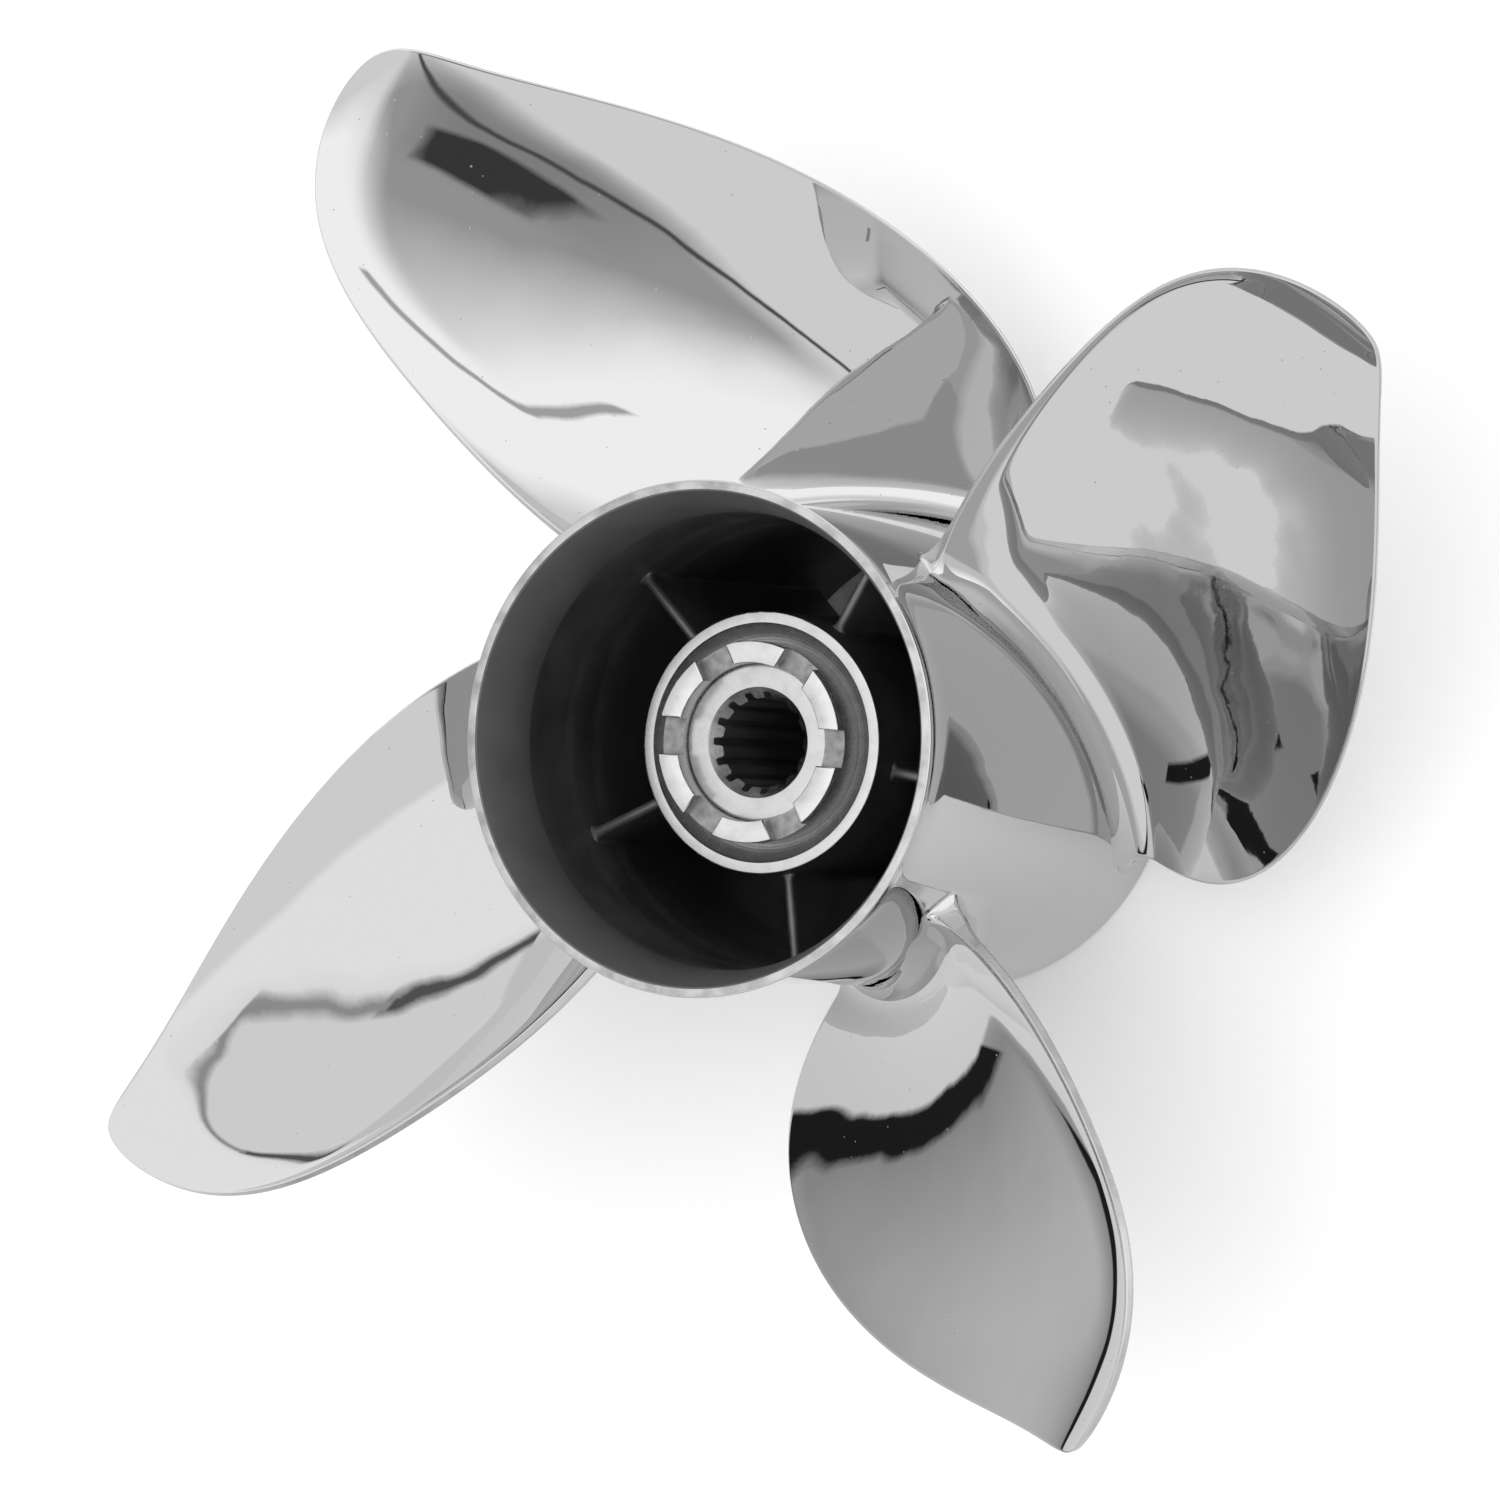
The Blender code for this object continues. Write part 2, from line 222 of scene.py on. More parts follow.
@dataclass(frozen=True)
class MirrorPolish(Finish):
    """Steel polished by hand to a mirror: soft waves, faint buffing haze and a few dark pits."""

    greys: Point2 = (0.275, 0.50)
    roughness: Point2 = (0.008, 0.02)
    patch_scale: float = 35.0
    wave: float = 0.00005
    wave_scale: float = 55.0
    wave_detail: float = 1.0
    ripples_flatter: float = 30.0
    ripple_scale: float = 260.0
    pit_scale: float = 210.0
    pit_edges: Point2 = (0.015, 0.05)
    pit_depth: float = 0.00002

    def relief(self, graph: Graph, where: Socket) -> dict:
        """The bump of the waves, the ripples and the pits, and the grey, which is darker in the pits."""
        waves = graph.bump(graph.grain(where, self.wave_scale, self.wave_detail), self.wave)
        ripples = graph.bump(graph.grain(where, self.ripple_scale), self.wave / self.ripples_flatter, waves)
        cells = graph.add("ShaderNodeTexVoronoi", {"Vector": where, "Scale": self.pit_scale})
        pits = graph.spread(cells.outputs["Distance"], 0.0, 1.0, self.pit_edges)
        return {
            "Base Color": graph.grey(graph.spread(pits, *self.greys)),
            "Normal": graph.bump(pits, self.pit_depth, ripples),
        }


@dataclass(frozen=True)
class LatheTurned(Finish):
    """Steel turned on a lathe, with fine rings about the shaft's axis."""

    roughness: Point2 = (0.20, 0.32)
    patch_scale: float = 300.0
    patch_detail: float = 3.0
    patch_edges: Point2 = (0.3, 0.6)
    pitch: float = 0.00035
    ring_share: float = 0.25
    tear_scale: float = 1900.0
    tear_detail: float = 4.0
    depth: float = 0.000007

    def relief(self, graph: Graph, where: Socket) -> dict:
        """The bump of the rings that the tool leaves, and of the tears between them."""
        parts = graph.add("ShaderNodeSeparateXYZ", {"Vector": where}).outputs
        squares = [graph.math("MULTIPLY", parts[i], parts[i]) for i in range(2)]
        feed = graph.math("ADD", graph.math("SQRT", graph.math("ADD", *squares)), parts[2])
        rings = graph.math("SINE", graph.math("MULTIPLY", feed, math.tau / self.pitch))
        along = graph.math("MULTIPLY", feed, self.tear_scale)
        sockets = {"W": along, "Scale": 1.0, "Detail": self.tear_detail}
        tears = graph.add("ShaderNodeTexNoise", sockets, noise_dimensions="1D").outputs["Fac"]
        height = graph.math("ADD", graph.math("MULTIPLY", rings, self.ring_share), tears)
        return {"Normal": graph.bump(height, self.depth)}


MIRROR = MirrorPolish("mirror_polish")
RIM_GROUND = BeltGround("rim_ground", (0.286, 0.44))
EDGE_GROUND = BeltGround("edge_ground", (0.44, 0.50))
TURNED = LatheTurned("lathe_turned", (0.391, 0.46))
FACED = LatheTurned("faced_land", (0.442, 0.52), depth=0.000004)
# A darker, less metallic turned grey for the hub's recess: painted shade; its wider rings are the tool's
RECESS_TURNED_SHADED = LatheTurned("turned_recess_painted_shade", (0.2295, 0.27), metallic=0.45, pitch=0.0009, depth=0.00003)
FLARE_CAST = Grained("as_cast_flare", (0.099, 0.121), (0.42, 0.52), 60.0, metallic=0.5, depth=0.00001)
# Very dark grey of the bore and of the hub inside the barrel: partly the as-cast tone, partly painted shade
CAST = Grained("as_cast_bore_painted_shade", (0.04125, 0.0715), metallic=0.4)
RIB_CAST = Grained("as_cast_rib", (0.09, 0.156), (0.3, 0.45), metallic=0.6)
# Darker grey of the splines' flanks in the sleeve's narrow bore: painted shade; its grain is the broaching's
BROACHED_SHADED = Grained("broached_splines_painted_shade", (0.1125, 0.195), (0.3, 0.5), metallic=0.7, depth=0.00002)
NOTCH_FLOOR = Grained("as_cast_notch", (0.165, 0.375), (0.45, 0.6), 420.0)
RUBBER = Grained(
    "moulded_rubber",
    (0.018, 0.045),
    (0.55, 0.8),
    150.0,
    metallic=0.0,
    grain_scale=1400.0,
    grain_detail=3.0,
    depth=0.00004,
)


# Mesh helpers


def linked(build: BMesh, name: str, materials: Sequence[bpy.types.Material]) -> bpy.types.Object:
    """Makes an object of a mesh, which is freed, and puts it in the scene."""
    bmesh.ops.recalc_face_normals(build, faces=build.faces)
    mesh = bpy.data.meshes.new(name)
    build.to_mesh(mesh)
    build.free()
    for material in materials:
        mesh.materials.append(material)
    made = bpy.data.objects.new(name, mesh)
    bpy.context.scene.collection.objects.link(made)
    return made


def place_piece(
    build: BMesh,
    name: str,
    finishes: Sequence[Finish],
    nodes: Sequence[str],
    crease: float = 30.0,
) -> None:
    """Makes a finished mesh a piece of the object.

    Args:
        build: The mesh, which is freed.
        name: The piece's name.
        finishes: Its finishes, in the order of the faces' material numbers.
        nodes: The solids that it stands for.
        crease: The angle in degrees from which an edge is sharp.
    """
    bmesh.ops.remove_doubles(build, verts=build.verts, dist=MERGE)
    bmesh.ops.dissolve_degenerate(build, edges=build.edges, dist=MERGE)
    piece = linked(build, name, [finish.material() for finish in finishes])
    piece.data.shade_smooth()
    piece.data.set_sharp_from_angle(angle=math.radians(crease))
    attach(piece, BODY)
    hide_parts(*nodes)
    LOG.info("%s: %d faces", name, len(piece.data.polygons))


def arc(centre: Point2, radius: float, start: float, end: float, steps: int) -> list[Point2]:
    """Points along an arc in the plane of radius and height. Angle 0 points away from the shaft's axis."""
    angles = [math.radians(start + (end - start) * i / steps) for i in range(steps + 1)]
    return [(centre[0] + radius * math.cos(a), centre[1] + radius * math.sin(a)) for a in angles]


def spun(profile: Sequence[Point2], steps: int, closed: bool = True) -> BMesh:
    """The mesh of a profile turned about the shaft's axis.

    Args:
        profile: Radius and height of each corner.
        steps: How many faces the mesh has round the axis.
        closed: Whether the profile's last corner is joined to its first.
    """
    build = bmesh.new()
    corners = [build.verts.new((radius, 0.0, z)) for radius, z in profile]
    after = corners[1:] + corners[:1] if closed else corners[1:]
    edges = [build.edges.new(pair) for pair in zip(corners, after)]
    turn = {"cent": (0, 0, 0), "axis": (0, 0, 1), "angle": math.tau}
    bmesh.ops.spin(build, geom=corners + edges, steps=steps, use_merge=True, **turn)
    return build


def rims(build: BMesh) -> list[BMEdge]:
    """The edges at which a mesh is open."""
    return [edge for edge in build.edges if edge.is_boundary]


def drawn_out(build: BMesh, edges: list[BMEdge]) -> tuple[list[BMVert], list[BMEdge]]:
    """Draws edges out into a strip of faces with no width yet, and gives its new vertices and new edges."""
    drawn = bmesh.ops.extrude_edge_only(build, edges=edges)["geom"]
    verts = [item for item in drawn if isinstance(item, BMVert)]
    return verts, [item for item in drawn if isinstance(item, BMEdge)]


def paint(build: BMesh, number: int, wanted: Callable[[Vector, Vector], bool]) -> None:
    """Gives a material number to the faces that a test picks by their middle and their normal."""
    build.normal_update()
    for face in build.faces:
        if wanted(face.calc_center_median(), face.normal):
            face.material_index = number


def radius_of(point: Vector) -> float:
    """How far a point lies from the shaft's axis."""
    return math.hypot(point.x, point.y)


# Barrel


@dataclass
class Barrel:
    """The outer tube: a mirror outside with a flared aft rim, and a dark cast bore with two steps, whose
    darkness is partly painted shade.
    """

    length: float = 0.135
    radius: float = 0.0535
    bore: float = 0.0494
    rim_radius: float = 0.05715
    rim_bore: float = 0.0549
    flare_length: float = 0.018
    flare_bore: float = 0.0508
    first_step_z: float = 0.098
    first_step_bore: float = 0.0502
    second_step_z: float = 0.086
    step_run: float = 0.005
    rim_round: float = 0.0005
    front_chamfer: float = 0.0008
    steps: int = 192
    corner_steps: int = 4
    flare_steps: int = 16
    rise_steps: int = 8

    def flare(self, radius: float, rim_radius: float, top: float) -> list[Point2]:
        """The flare's profile, from its top down to where it meets the cylinder.

        Args:
            radius: The cylinder's radius, to which the flare is tangent.
            rim_radius: The radius that it would have at the rim's height.
            top: The height at which it is cut off.

        Returns:
            The points.
        """
        rise = rim_radius - radius
        bend = (self.flare_length**2 + rise**2) / (2 * rise)
        foot = self.length - self.flare_length
        end = math.degrees(math.asin((top - foot) / bend))
        return arc((radius + bend, foot), bend, 180 - end, 180, self.flare_steps)

    def step(self, low: float, high: float, z: float) -> list[Point2]:
        """A soft cast step in the bore at a height, from the bore below it to the bore above it."""
        shares = [i / self.rise_steps for i in range(self.rise_steps + 1)]
        return [(low + (high - low) * eased(x, 0.0, 1.0), z + self.step_run * (x - 0.5)) for x in shares]

    def profile(self) -> list[Point2]:
        """The whole section, down the outside and up the bore."""
        top, small, chamfer, count = self.length, self.rim_round, self.front_chamfer, self.corner_steps
        return [
            *arc((self.rim_radius - small, top - small), small, 90, 5, count),
            *self.flare(self.radius, self.rim_radius, top - 1.5 * small),
            *arc((self.radius - chamfer, chamfer), chamfer, 0, -90, count),
            *arc((self.bore + chamfer, chamfer), chamfer, 270, 180, count),
            *self.step(self.bore, self.first_step_bore, self.second_step_z),
            *self.step(self.first_step_bore, self.flare_bore, self.first_step_z),
            *reversed(self.flare(self.flare_bore, self.rim_bore, top - small / 2)),
            (self.rim_bore + small / 2, top),
        ]

    def build(self) -> None:
        """Makes the piece."""
        build = spun(self.profile(), self.steps)
        inside = self.radius - 2 * NEAR
        flare_foot = self.length - self.flare_length

        def in_bore(middle: Vector, normal: Vector) -> bool:
            """Whether a face belongs to the bore."""
            inwards = normal.x * middle.x + normal.y * middle.y < 0
            return inwards or radius_of(middle) < inside and middle.z < flare_foot

        bmesh.ops.recalc_face_normals(build, faces=build.faces)
        # The bore below the flare takes the darkest cast grey, partly painted shade
        paint(build, 3, in_bore)
        paint(build, 2, lambda middle, normal: in_bore(middle, normal) and middle.z > flare_foot)
        paint(build, 1, lambda middle, normal: normal.z > LEVEL and middle.z > self.length - self.rim_round)
        place_piece(build, "outer_barrel", (MIRROR, RIM_GROUND, FLARE_CAST, CAST), ["barrel"])


# Blades


def smooth_curve(values: Sequence[float], x: float) -> float:
    """The Bernstein curve of some control values, at a place from 0 to 1."""
    n = len(values) - 1
    return sum(math.comb(n, i) * x**i * (1 - x) ** (n - i) * value for i, value in enumerate(values))


def eased(value: float, low: float, high: float) -> float:
    """A smooth step from 0 at low to 1 at high."""
    share = min(1.0, max(0.0, (value - low) / (high - low)))
    return share * share * (3 - 2 * share)


@dataclass(frozen=True)
class Station:
    """The blade at one radius, on a plane unrolled from that radius's cylinder, with angles in radians."""

    radius: float
    span: float
    middle: float
    middle_z: float
    slope: float
    half_chord: float
    narrowing: float
    drift: float

    def place(self, along: float, across: float) -> Vector:
        """A point of the unrolled plane, put back on the cylinder.

        Args:
            along: How far it lies along the chord, towards the trailing edge.
            across: How far it lies across the chord, towards aft.
        """
        around = along * math.cos(self.slope) - across * math.sin(self.slope)
        angle = self.middle + around / self.radius
        z = self.middle_z + along * math.sin(self.slope) + across * math.cos(self.slope)
        return Vector((self.radius * math.cos(angle), self.radius * math.sin(angle), z))

    def edge(self, along: float) -> Point2:
        """How far a place along the chord lies from the blade's edge, and which edge that is.

        Returns:
            The distance, and a share from -1 at the leading through 0 at the tip to 1 at the trailing edge.
        """
        outward = math.hypot(along, self.narrowing + along * self.drift)
        if outward < 1e-6:
            return 1.0, 0.0
        return max(0.0, self.half_chord**2 - along**2) / (2 * outward), along / outward


@dataclass
class Blade:
    """A skewed blade with a dished aft face, a lip along its trailing edge and a fillet round its root."""

    number: int
    count: int = 4
    root_radius: float = 0.0535
    tip_radius: float = 0.1778
    root_angle: float = 90.0

    # Curves from the root to the tip, by their control values: skew and half width in degrees, and pitch in
    # metres per turn
    skew: tuple[float, ...] = (0.0, 0.0, 3.0, 24.5, 17.5)
    half_width: tuple[float, ...] = (35.0, 49.0, 31.0, 18.0)
    middle_z: tuple[float, ...] = (0.0515, 0.0575, 0.0765, 0.112, 0.120)
    pitch: tuple[float, ...] = (0.414, 0.366, 0.524)
    camber: tuple[float, ...] = (0.112, 0.050, 0.068, 0.037)
    lean: tuple[float, ...] = (0.017, -0.025, -0.006)

    # Thickness, and how the edge is rounded off. A zone is a range of shares from -1 at the leading edge to
    # 1 at the trailing edge
    root_thickness: float = 0.0095
    tip_thickness: float = 0.0030
    edge_thickness: float = 0.0024
    root_edge: float = 0.0056
    root_edge_end: float = 0.0140
    root_edge_zone: Point2 = (-0.5, 0.5)
    edge_round: Point2 = (0.0011, 0.0004)
    edge_round_zone: Point2 = (-0.8, -0.2)

    # The cup and the lip along the trailing edge. A start is a range of distances from the root
    cup_depth: float = 0.0014
    cup_width: float = 0.017
    cup_zone: Point2 = (-0.6, 0.5)
    lip_depth: float = 0.0006
    lip_width: float = 0.0045
    lip_start: Point2 = (0.0040, 0.0150)

    # The fillet round the root, and the rows under the barrel's skin
    fillet: float = 0.0075
    fillet_spare: Point2 = (0.0006, 0.0008)
    root_depth: float = 0.0006
    skin_depth: float = 0.00004
    corner_share: float = 0.4
    trailing_cut: float = 0.55
    trailing_zone: Point2 = (0.70, 0.98)

    # The waves that hand polishing leaves, in cells per metre, and how far each blade's are shifted
    wave: float = 0.00005
    wave_scale: float = 42.0
    wave_shift: float = 7.3
    wave_start: Point2 = (0.001, 0.015)

    # The mesh, and from which share of its rows the leading edge is ground too
    crease: float = 50.0
    face_steps: int = 96
    edge_steps: int = 6
    hidden_rows: int = 3
    fillet_steps: int = 10
    span_steps: int = 120
    tip_share: float = 0.80

    def law(self, radius: float) -> tuple[float, float, float, float, float]:
        """Share of the span, angle of the chord's middle, its height, its slope and half its length."""
        x = min(1.0, max(0.0, (radius - self.root_radius) / (self.tip_radius - self.root_radius)))
        turn = 360 / self.count * (self.number - 1)
        middle = math.radians(self.root_angle - turn + smooth_curve(self.skew, x))
        slope = math.atan2(smooth_curve(self.pitch, x), math.tau * radius)
        half_angle = math.radians(smooth_curve(self.half_width, x)) * math.sqrt(1 - x)
        return x, middle, smooth_curve(self.middle_z, x), slope, half_angle * radius / math.cos(slope)

    def station(self, radius: float) -> Station:
        """The blade at one radius, with how its chord changes along the span."""
        step = 0.0001
        x, middle, middle_z, slope, half_chord = self.law(radius)
        inner = min(max(radius, self.root_radius + step), self.tip_radius) - step
        low, high = self.law(inner), self.law(inner + step)
        narrowing = (high[4] ** 2 - low[4] ** 2) / (2 * step)
        turn, climb = (high[1] - low[1]) / step * radius, (high[2] - low[2]) / step
        drift = turn * math.cos(slope) + climb * math.sin(slope)
        return Station(radius, x, middle, middle_z, slope, half_chord, narrowing, drift)

    def surface(self, station: Station, along: float, side: int) -> float:
        """How far a face lies across the chord.

        Args:
            station: The blade at that radius.
            along: The place along the chord.
            side: 1 for the aft face, -1 for the forward face.

        Returns:
            The distance, towards aft.
        """
        half_chord = station.half_chord
        soft = math.hypot(half_chord, self.cup_width)
        inside = (half_chord**2 - along**2) / soft
        distance, trailing = station.edge(along)
        toward_aft = eased(trailing, *self.cup_zone)
        share = 0.5 * (1 + along / soft) * (half_chord / soft) ** 2
        rise = max(0.0, 1 - distance / self.cup_width) ** 2 * toward_aft
        out = station.radius - self.root_radius
        lip = max(0.0, 1 - distance / self.lip_width) ** 3 * toward_aft * eased(out, *self.lip_start)
        dish = smooth_curve(self.camber, station.span) + smooth_curve(self.lean, station.span) * along / soft
        mean = -dish * inside - self.cup_depth * (share - rise) + self.lip_depth * lip
        return mean + side * self.half_thickness(station, along, distance, trailing)

    def half_thickness(self, station: Station, along: float, distance: float, trailing: float) -> float:
        """Half the blade's thickness, with its edge rounded off.

        Args:
            station: The blade at that radius.
            along: The place along the chord.
            distance: How far the edge is.
            trailing: Which edge is near, from -1 at the leading to 1 at the trailing edge.

        Returns:
            Half the thickness there.
        """
        near_root = 1 - eased(station.radius - self.root_radius, 0.0, self.root_edge_end)
        swelling = (self.root_edge - self.edge_thickness) * near_root * eased(trailing, *self.root_edge_zone)
        edge = (self.edge_thickness + swelling) / 2
        full = self.root_thickness + (self.tip_thickness - self.root_thickness) * math.sqrt(station.span)
        belly = (station.half_chord**2 - along**2) / (station.half_chord**2 + self.cup_width**2)
        leading, after = self.edge_round
        rounding = leading + (after - leading) * eased(trailing, *self.edge_round_zone)
        missing = max(0.0, rounding - distance)
        cut = rounding - math.sqrt(rounding**2 - missing**2)
        return edge + (full / 2 - edge) * belly - cut

    def outline(self, station: Station) -> list[Point2]:
        """The section's closed outline: the aft face to the trailing edge, then the forward face back."""
        shares = [-math.cos(math.pi * i / self.face_steps) for i in range(self.face_steps + 1)]
        places = [share * station.half_chord for share in shares]
        aft, forward = ([(x, self.surface(station, x, side)) for x in places] for side in (1, -1))
        ends = self.between(aft[-1], forward[-1]), self.between(forward[0], aft[0])
        return [*aft, *ends[0], *reversed(forward), *ends[1]]

    def between(self, start: Point2, end: Point2) -> list[Point2]:
        """The points on the edge between the last point of one face and the first of the other."""
        count = self.edge_steps
        return [tuple(a + (b - a) * i / count for a, b in zip(start, end)) for i in range(1, count)]

    def grown(self, loop: list[Point2], distance: float) -> list[Point2]:
        """A closed outline moved outwards by a distance, and by less round its trailing edge."""
        found = []
        end = max(point[0] for point in loop)
        for i, here in enumerate(loop):
            before, after = (self.reached(loop, i, way, distance * self.corner_share) for way in (-1, 1))
            step = (after[0] - before[0], after[1] - before[1])
            own = distance * (1 - self.trailing_cut * eased(here[0] / end, *self.trailing_zone))
            scale = own / (math.hypot(*step) or 1.0)
            found.append((here[0] - step[1] * scale, here[1] + step[0] * scale))
        return found

    def reached(self, loop: list[Point2], start: int, way: int, distance: float) -> Point2:
        """The first point of a closed outline, onwards or backwards, that is far enough from a start."""
        i = start + way
        while math.dist(loop[i % len(loop)], loop[start]) < distance:
            i += way
        return loop[i % len(loop)]

    def closed(self, loop: list[Point2]) -> list[Point2]:
        """An outline drawn in to the line between its faces, which closes the blade there."""
        face, edge = self.face_steps, self.edge_steps
        count = len(loop)
        facing = [loop[(2 * face + edge - i) % count] for i in range(count)]
        return [((p[0] + q[0]) / 2, (p[1] + q[1]) / 2) for p, q in zip(loop, facing)]

    def rows(self) -> list[list[Vector]]:
        """The points of each outline from under the barrel's skin to the tip."""
        depths = (self.root_depth, self.skin_depth)
        hidden, skin = (self.station(self.root_radius - depth) for depth in depths)
        wide, wider = (
            self.grown(self.outline(station), self.fillet + spare)
            for station, spare in zip((hidden, skin), self.fillet_spare)
        )
        found = [(hidden, self.closed(wide)), (hidden, wide), (skin, wider)]
        for i in range(self.fillet_steps):
            turn = math.pi / 2 * i / self.fillet_steps
            station = self.station(self.root_radius + self.fillet * (1 - math.cos(turn)))
            found.append((station, self.grown(self.outline(station), self.fillet * (1 - math.sin(turn)))))
        start = self.root_radius + self.fillet
        for i in range(self.span_steps + 1):
            reach = (self.tip_radius - start) * math.sin(math.pi / 2 * i / self.span_steps)
            station = self.station(start + reach)
            found.append((station, self.outline(station)))
        return [[self.waved(station.place(*point), station) for point in loop] for station, loop in found]

    def waved(self, point: Vector, station: Station) -> Vector:
        """A point of a station moved a hair towards aft or forward, as hand polishing leaves it."""
        clear = eased(station.radius, *(self.root_radius + reach for reach in self.wave_start))
        height = noise.noise(point * self.wave_scale + Vector((self.wave_shift * self.number, 0, 0)))
        return point + Vector((0, 0, self.wave * clear * height))

    def build(self) -> None:
        """Makes the piece from a sheet whose columns wrap the section and whose rows climb the span."""
        rows = self.rows()
        columns = len(rows[0])
        build = bmesh.new()
        bmesh.ops.create_grid(build, x_segments=columns, y_segments=len(rows) - 1, size=1.0)
        self.mark_edge(build, columns, len(rows) - 1)
        for vert in build.verts:
            i = round((vert.co.x + 1) / 2 * columns) % columns
            j = round((vert.co.y + 1) / 2 * (len(rows) - 1))
            vert.co = rows[j][i]
        name, nodes = f"propeller_blade_{self.number}", [f"blade_{self.number}"]
        place_piece(build, name, (MIRROR, EDGE_GROUND), nodes, self.crease)

    def mark_edge(self, build: BMesh, columns: int, rows: int) -> None:
        """Gives the flat edge its ground finish, from the trailing corner of the root round the tip.

        Args:
            build: The blade's sheet, still flat.
            columns: How many faces it has round the section.
            rows: How many faces it has from the root to the tip.
        """
        trailing = range(self.face_steps, self.face_steps + self.edge_steps)
        leading = range(columns - self.edge_steps, columns)
        for face in build.faces:
            middle = face.calc_center_median()
            i = int((middle.x + 1) / 2 * columns)
            share = (middle.y + 1) / 2
            behind = i in trailing and share > (self.fillet_steps + self.hidden_rows) / rows
            if behind or i in leading and share > self.tip_share:
                face.material_index = 1


# Hub


@dataclass
class HubTube:
    """The inner tube: dark cast outside, partly painted shade, with a bright turned end and a recess for the
    collar, painted darker as shade.
    """

    radius: float = 0.0293
    bore: float = 0.0240
    front_z: float = 0.006
    aft_z: float = 0.1032
    recess: float = 0.0266
    floor_z: float = 0.0992
    corner: float = 0.0036
    web_front_z: float = 0.092
    web_bore: float = 0.0174
    chamfer: float = 0.0004
    steps: int = 160
    corner_steps: int = 3
    recess_steps: int = 8

    def profile(self) -> list[Point2]:
        """The whole section, down the outside and up the bore."""
        top, soft, count = self.aft_z, self.chamfer, self.corner_steps
        inner = (self.recess - self.corner, self.floor_z + self.corner)
        return [
            *arc((self.radius - soft, top - soft), soft, 90, 0, count),
            *arc((self.radius - soft, self.front_z + soft), soft, 0, -90, count),
            *arc((self.bore + soft, self.front_z + soft), soft, 270, 180, count),
            (self.bore, self.web_front_z),
            (self.web_bore, self.web_front_z),
            (self.web_bore, self.floor_z),
            *arc(inner, self.corner, -90, 0, self.recess_steps),
            (self.recess, top - soft / 2),
            (self.recess + soft / 2, top),
        ]

    def build(self) -> None:
        """Makes the piece."""
        build = spun(self.profile(), self.steps)
        outside = self.radius - NEAR
        turned_from = self.floor_z - NEAR
        # Below the end face the recess takes the darker turned grey, painted shade; the outside and the bore
        # below the recess take the cast grey, partly painted shade
        paint(build, 2, lambda middle, normal: middle.z < self.aft_z - self.chamfer)
        paint(build, 1, lambda middle, normal: middle.z < turned_from or radius_of(middle) > outside)
        place_piece(build, "hub_tube", (TURNED, CAST, RECESS_TURNED_SHADED), ["inner_hub_tube"])


@dataclass
class Rib:
    """A flat rib from the hub's tube to the barrel, with a round aft edge and fillets at both ends."""

    number: int
    first_angle: float = 47.5
    count: int = 5
    inner: float = 0.0290
    outer: float = 0.0504
    thickness: float = 0.0024
    flare: float = 0.0020
    front_z: float = 0.010
    aft_z: float = 0.0955
    length_steps: int = 24
    steps: int = 10

    def half_width(self, share: float) -> float:
        """Half the rib's width at a share of the way from the tube to the barrel. It grows at both ends."""
        reach = (self.outer - self.inner) * min(share, 1 - share)
        missing = max(0.0, self.flare - reach)
        return self.thickness / 2 + self.flare - math.sqrt(self.flare**2 - missing**2)

    def build(self) -> None:
        """Makes the piece."""
        build = bmesh.new()
        bmesh.ops.create_grid(build, x_segments=self.length_steps, y_segments=2 * self.steps, size=1.0)
        for vert in build.verts:
            i = round((vert.co.x + 1) / 2 * self.length_steps)
            share = 0.5 - 0.5 * math.cos(math.pi * i / self.length_steps)
            half = self.half_width(share)
            turn = vert.co.y * math.pi / 2
            round_top = self.thickness / 2 * math.cos(turn)
            radius = self.inner + (self.outer - self.inner) * share
            vert.co = (radius, half * math.sin(turn), self.aft_z - self.thickness / 2 + round_top)
        lower, _ = drawn_out(build, rims(build))
        for vert in lower:
            vert.co.z = self.front_z
        bmesh.ops.holes_fill(build, edges=rims(build), sides=0)
        turn = Matrix.Rotation(math.radians(self.first_angle + 360 / self.count * (self.number - 1)), 3, "Z")
        bmesh.ops.rotate(build, verts=build.verts, cent=(0, 0, 0), matrix=turn)
        place_piece(build, f"hub_rib_{self.number}", (RIB_CAST,), [f"rib_{self.number}"])


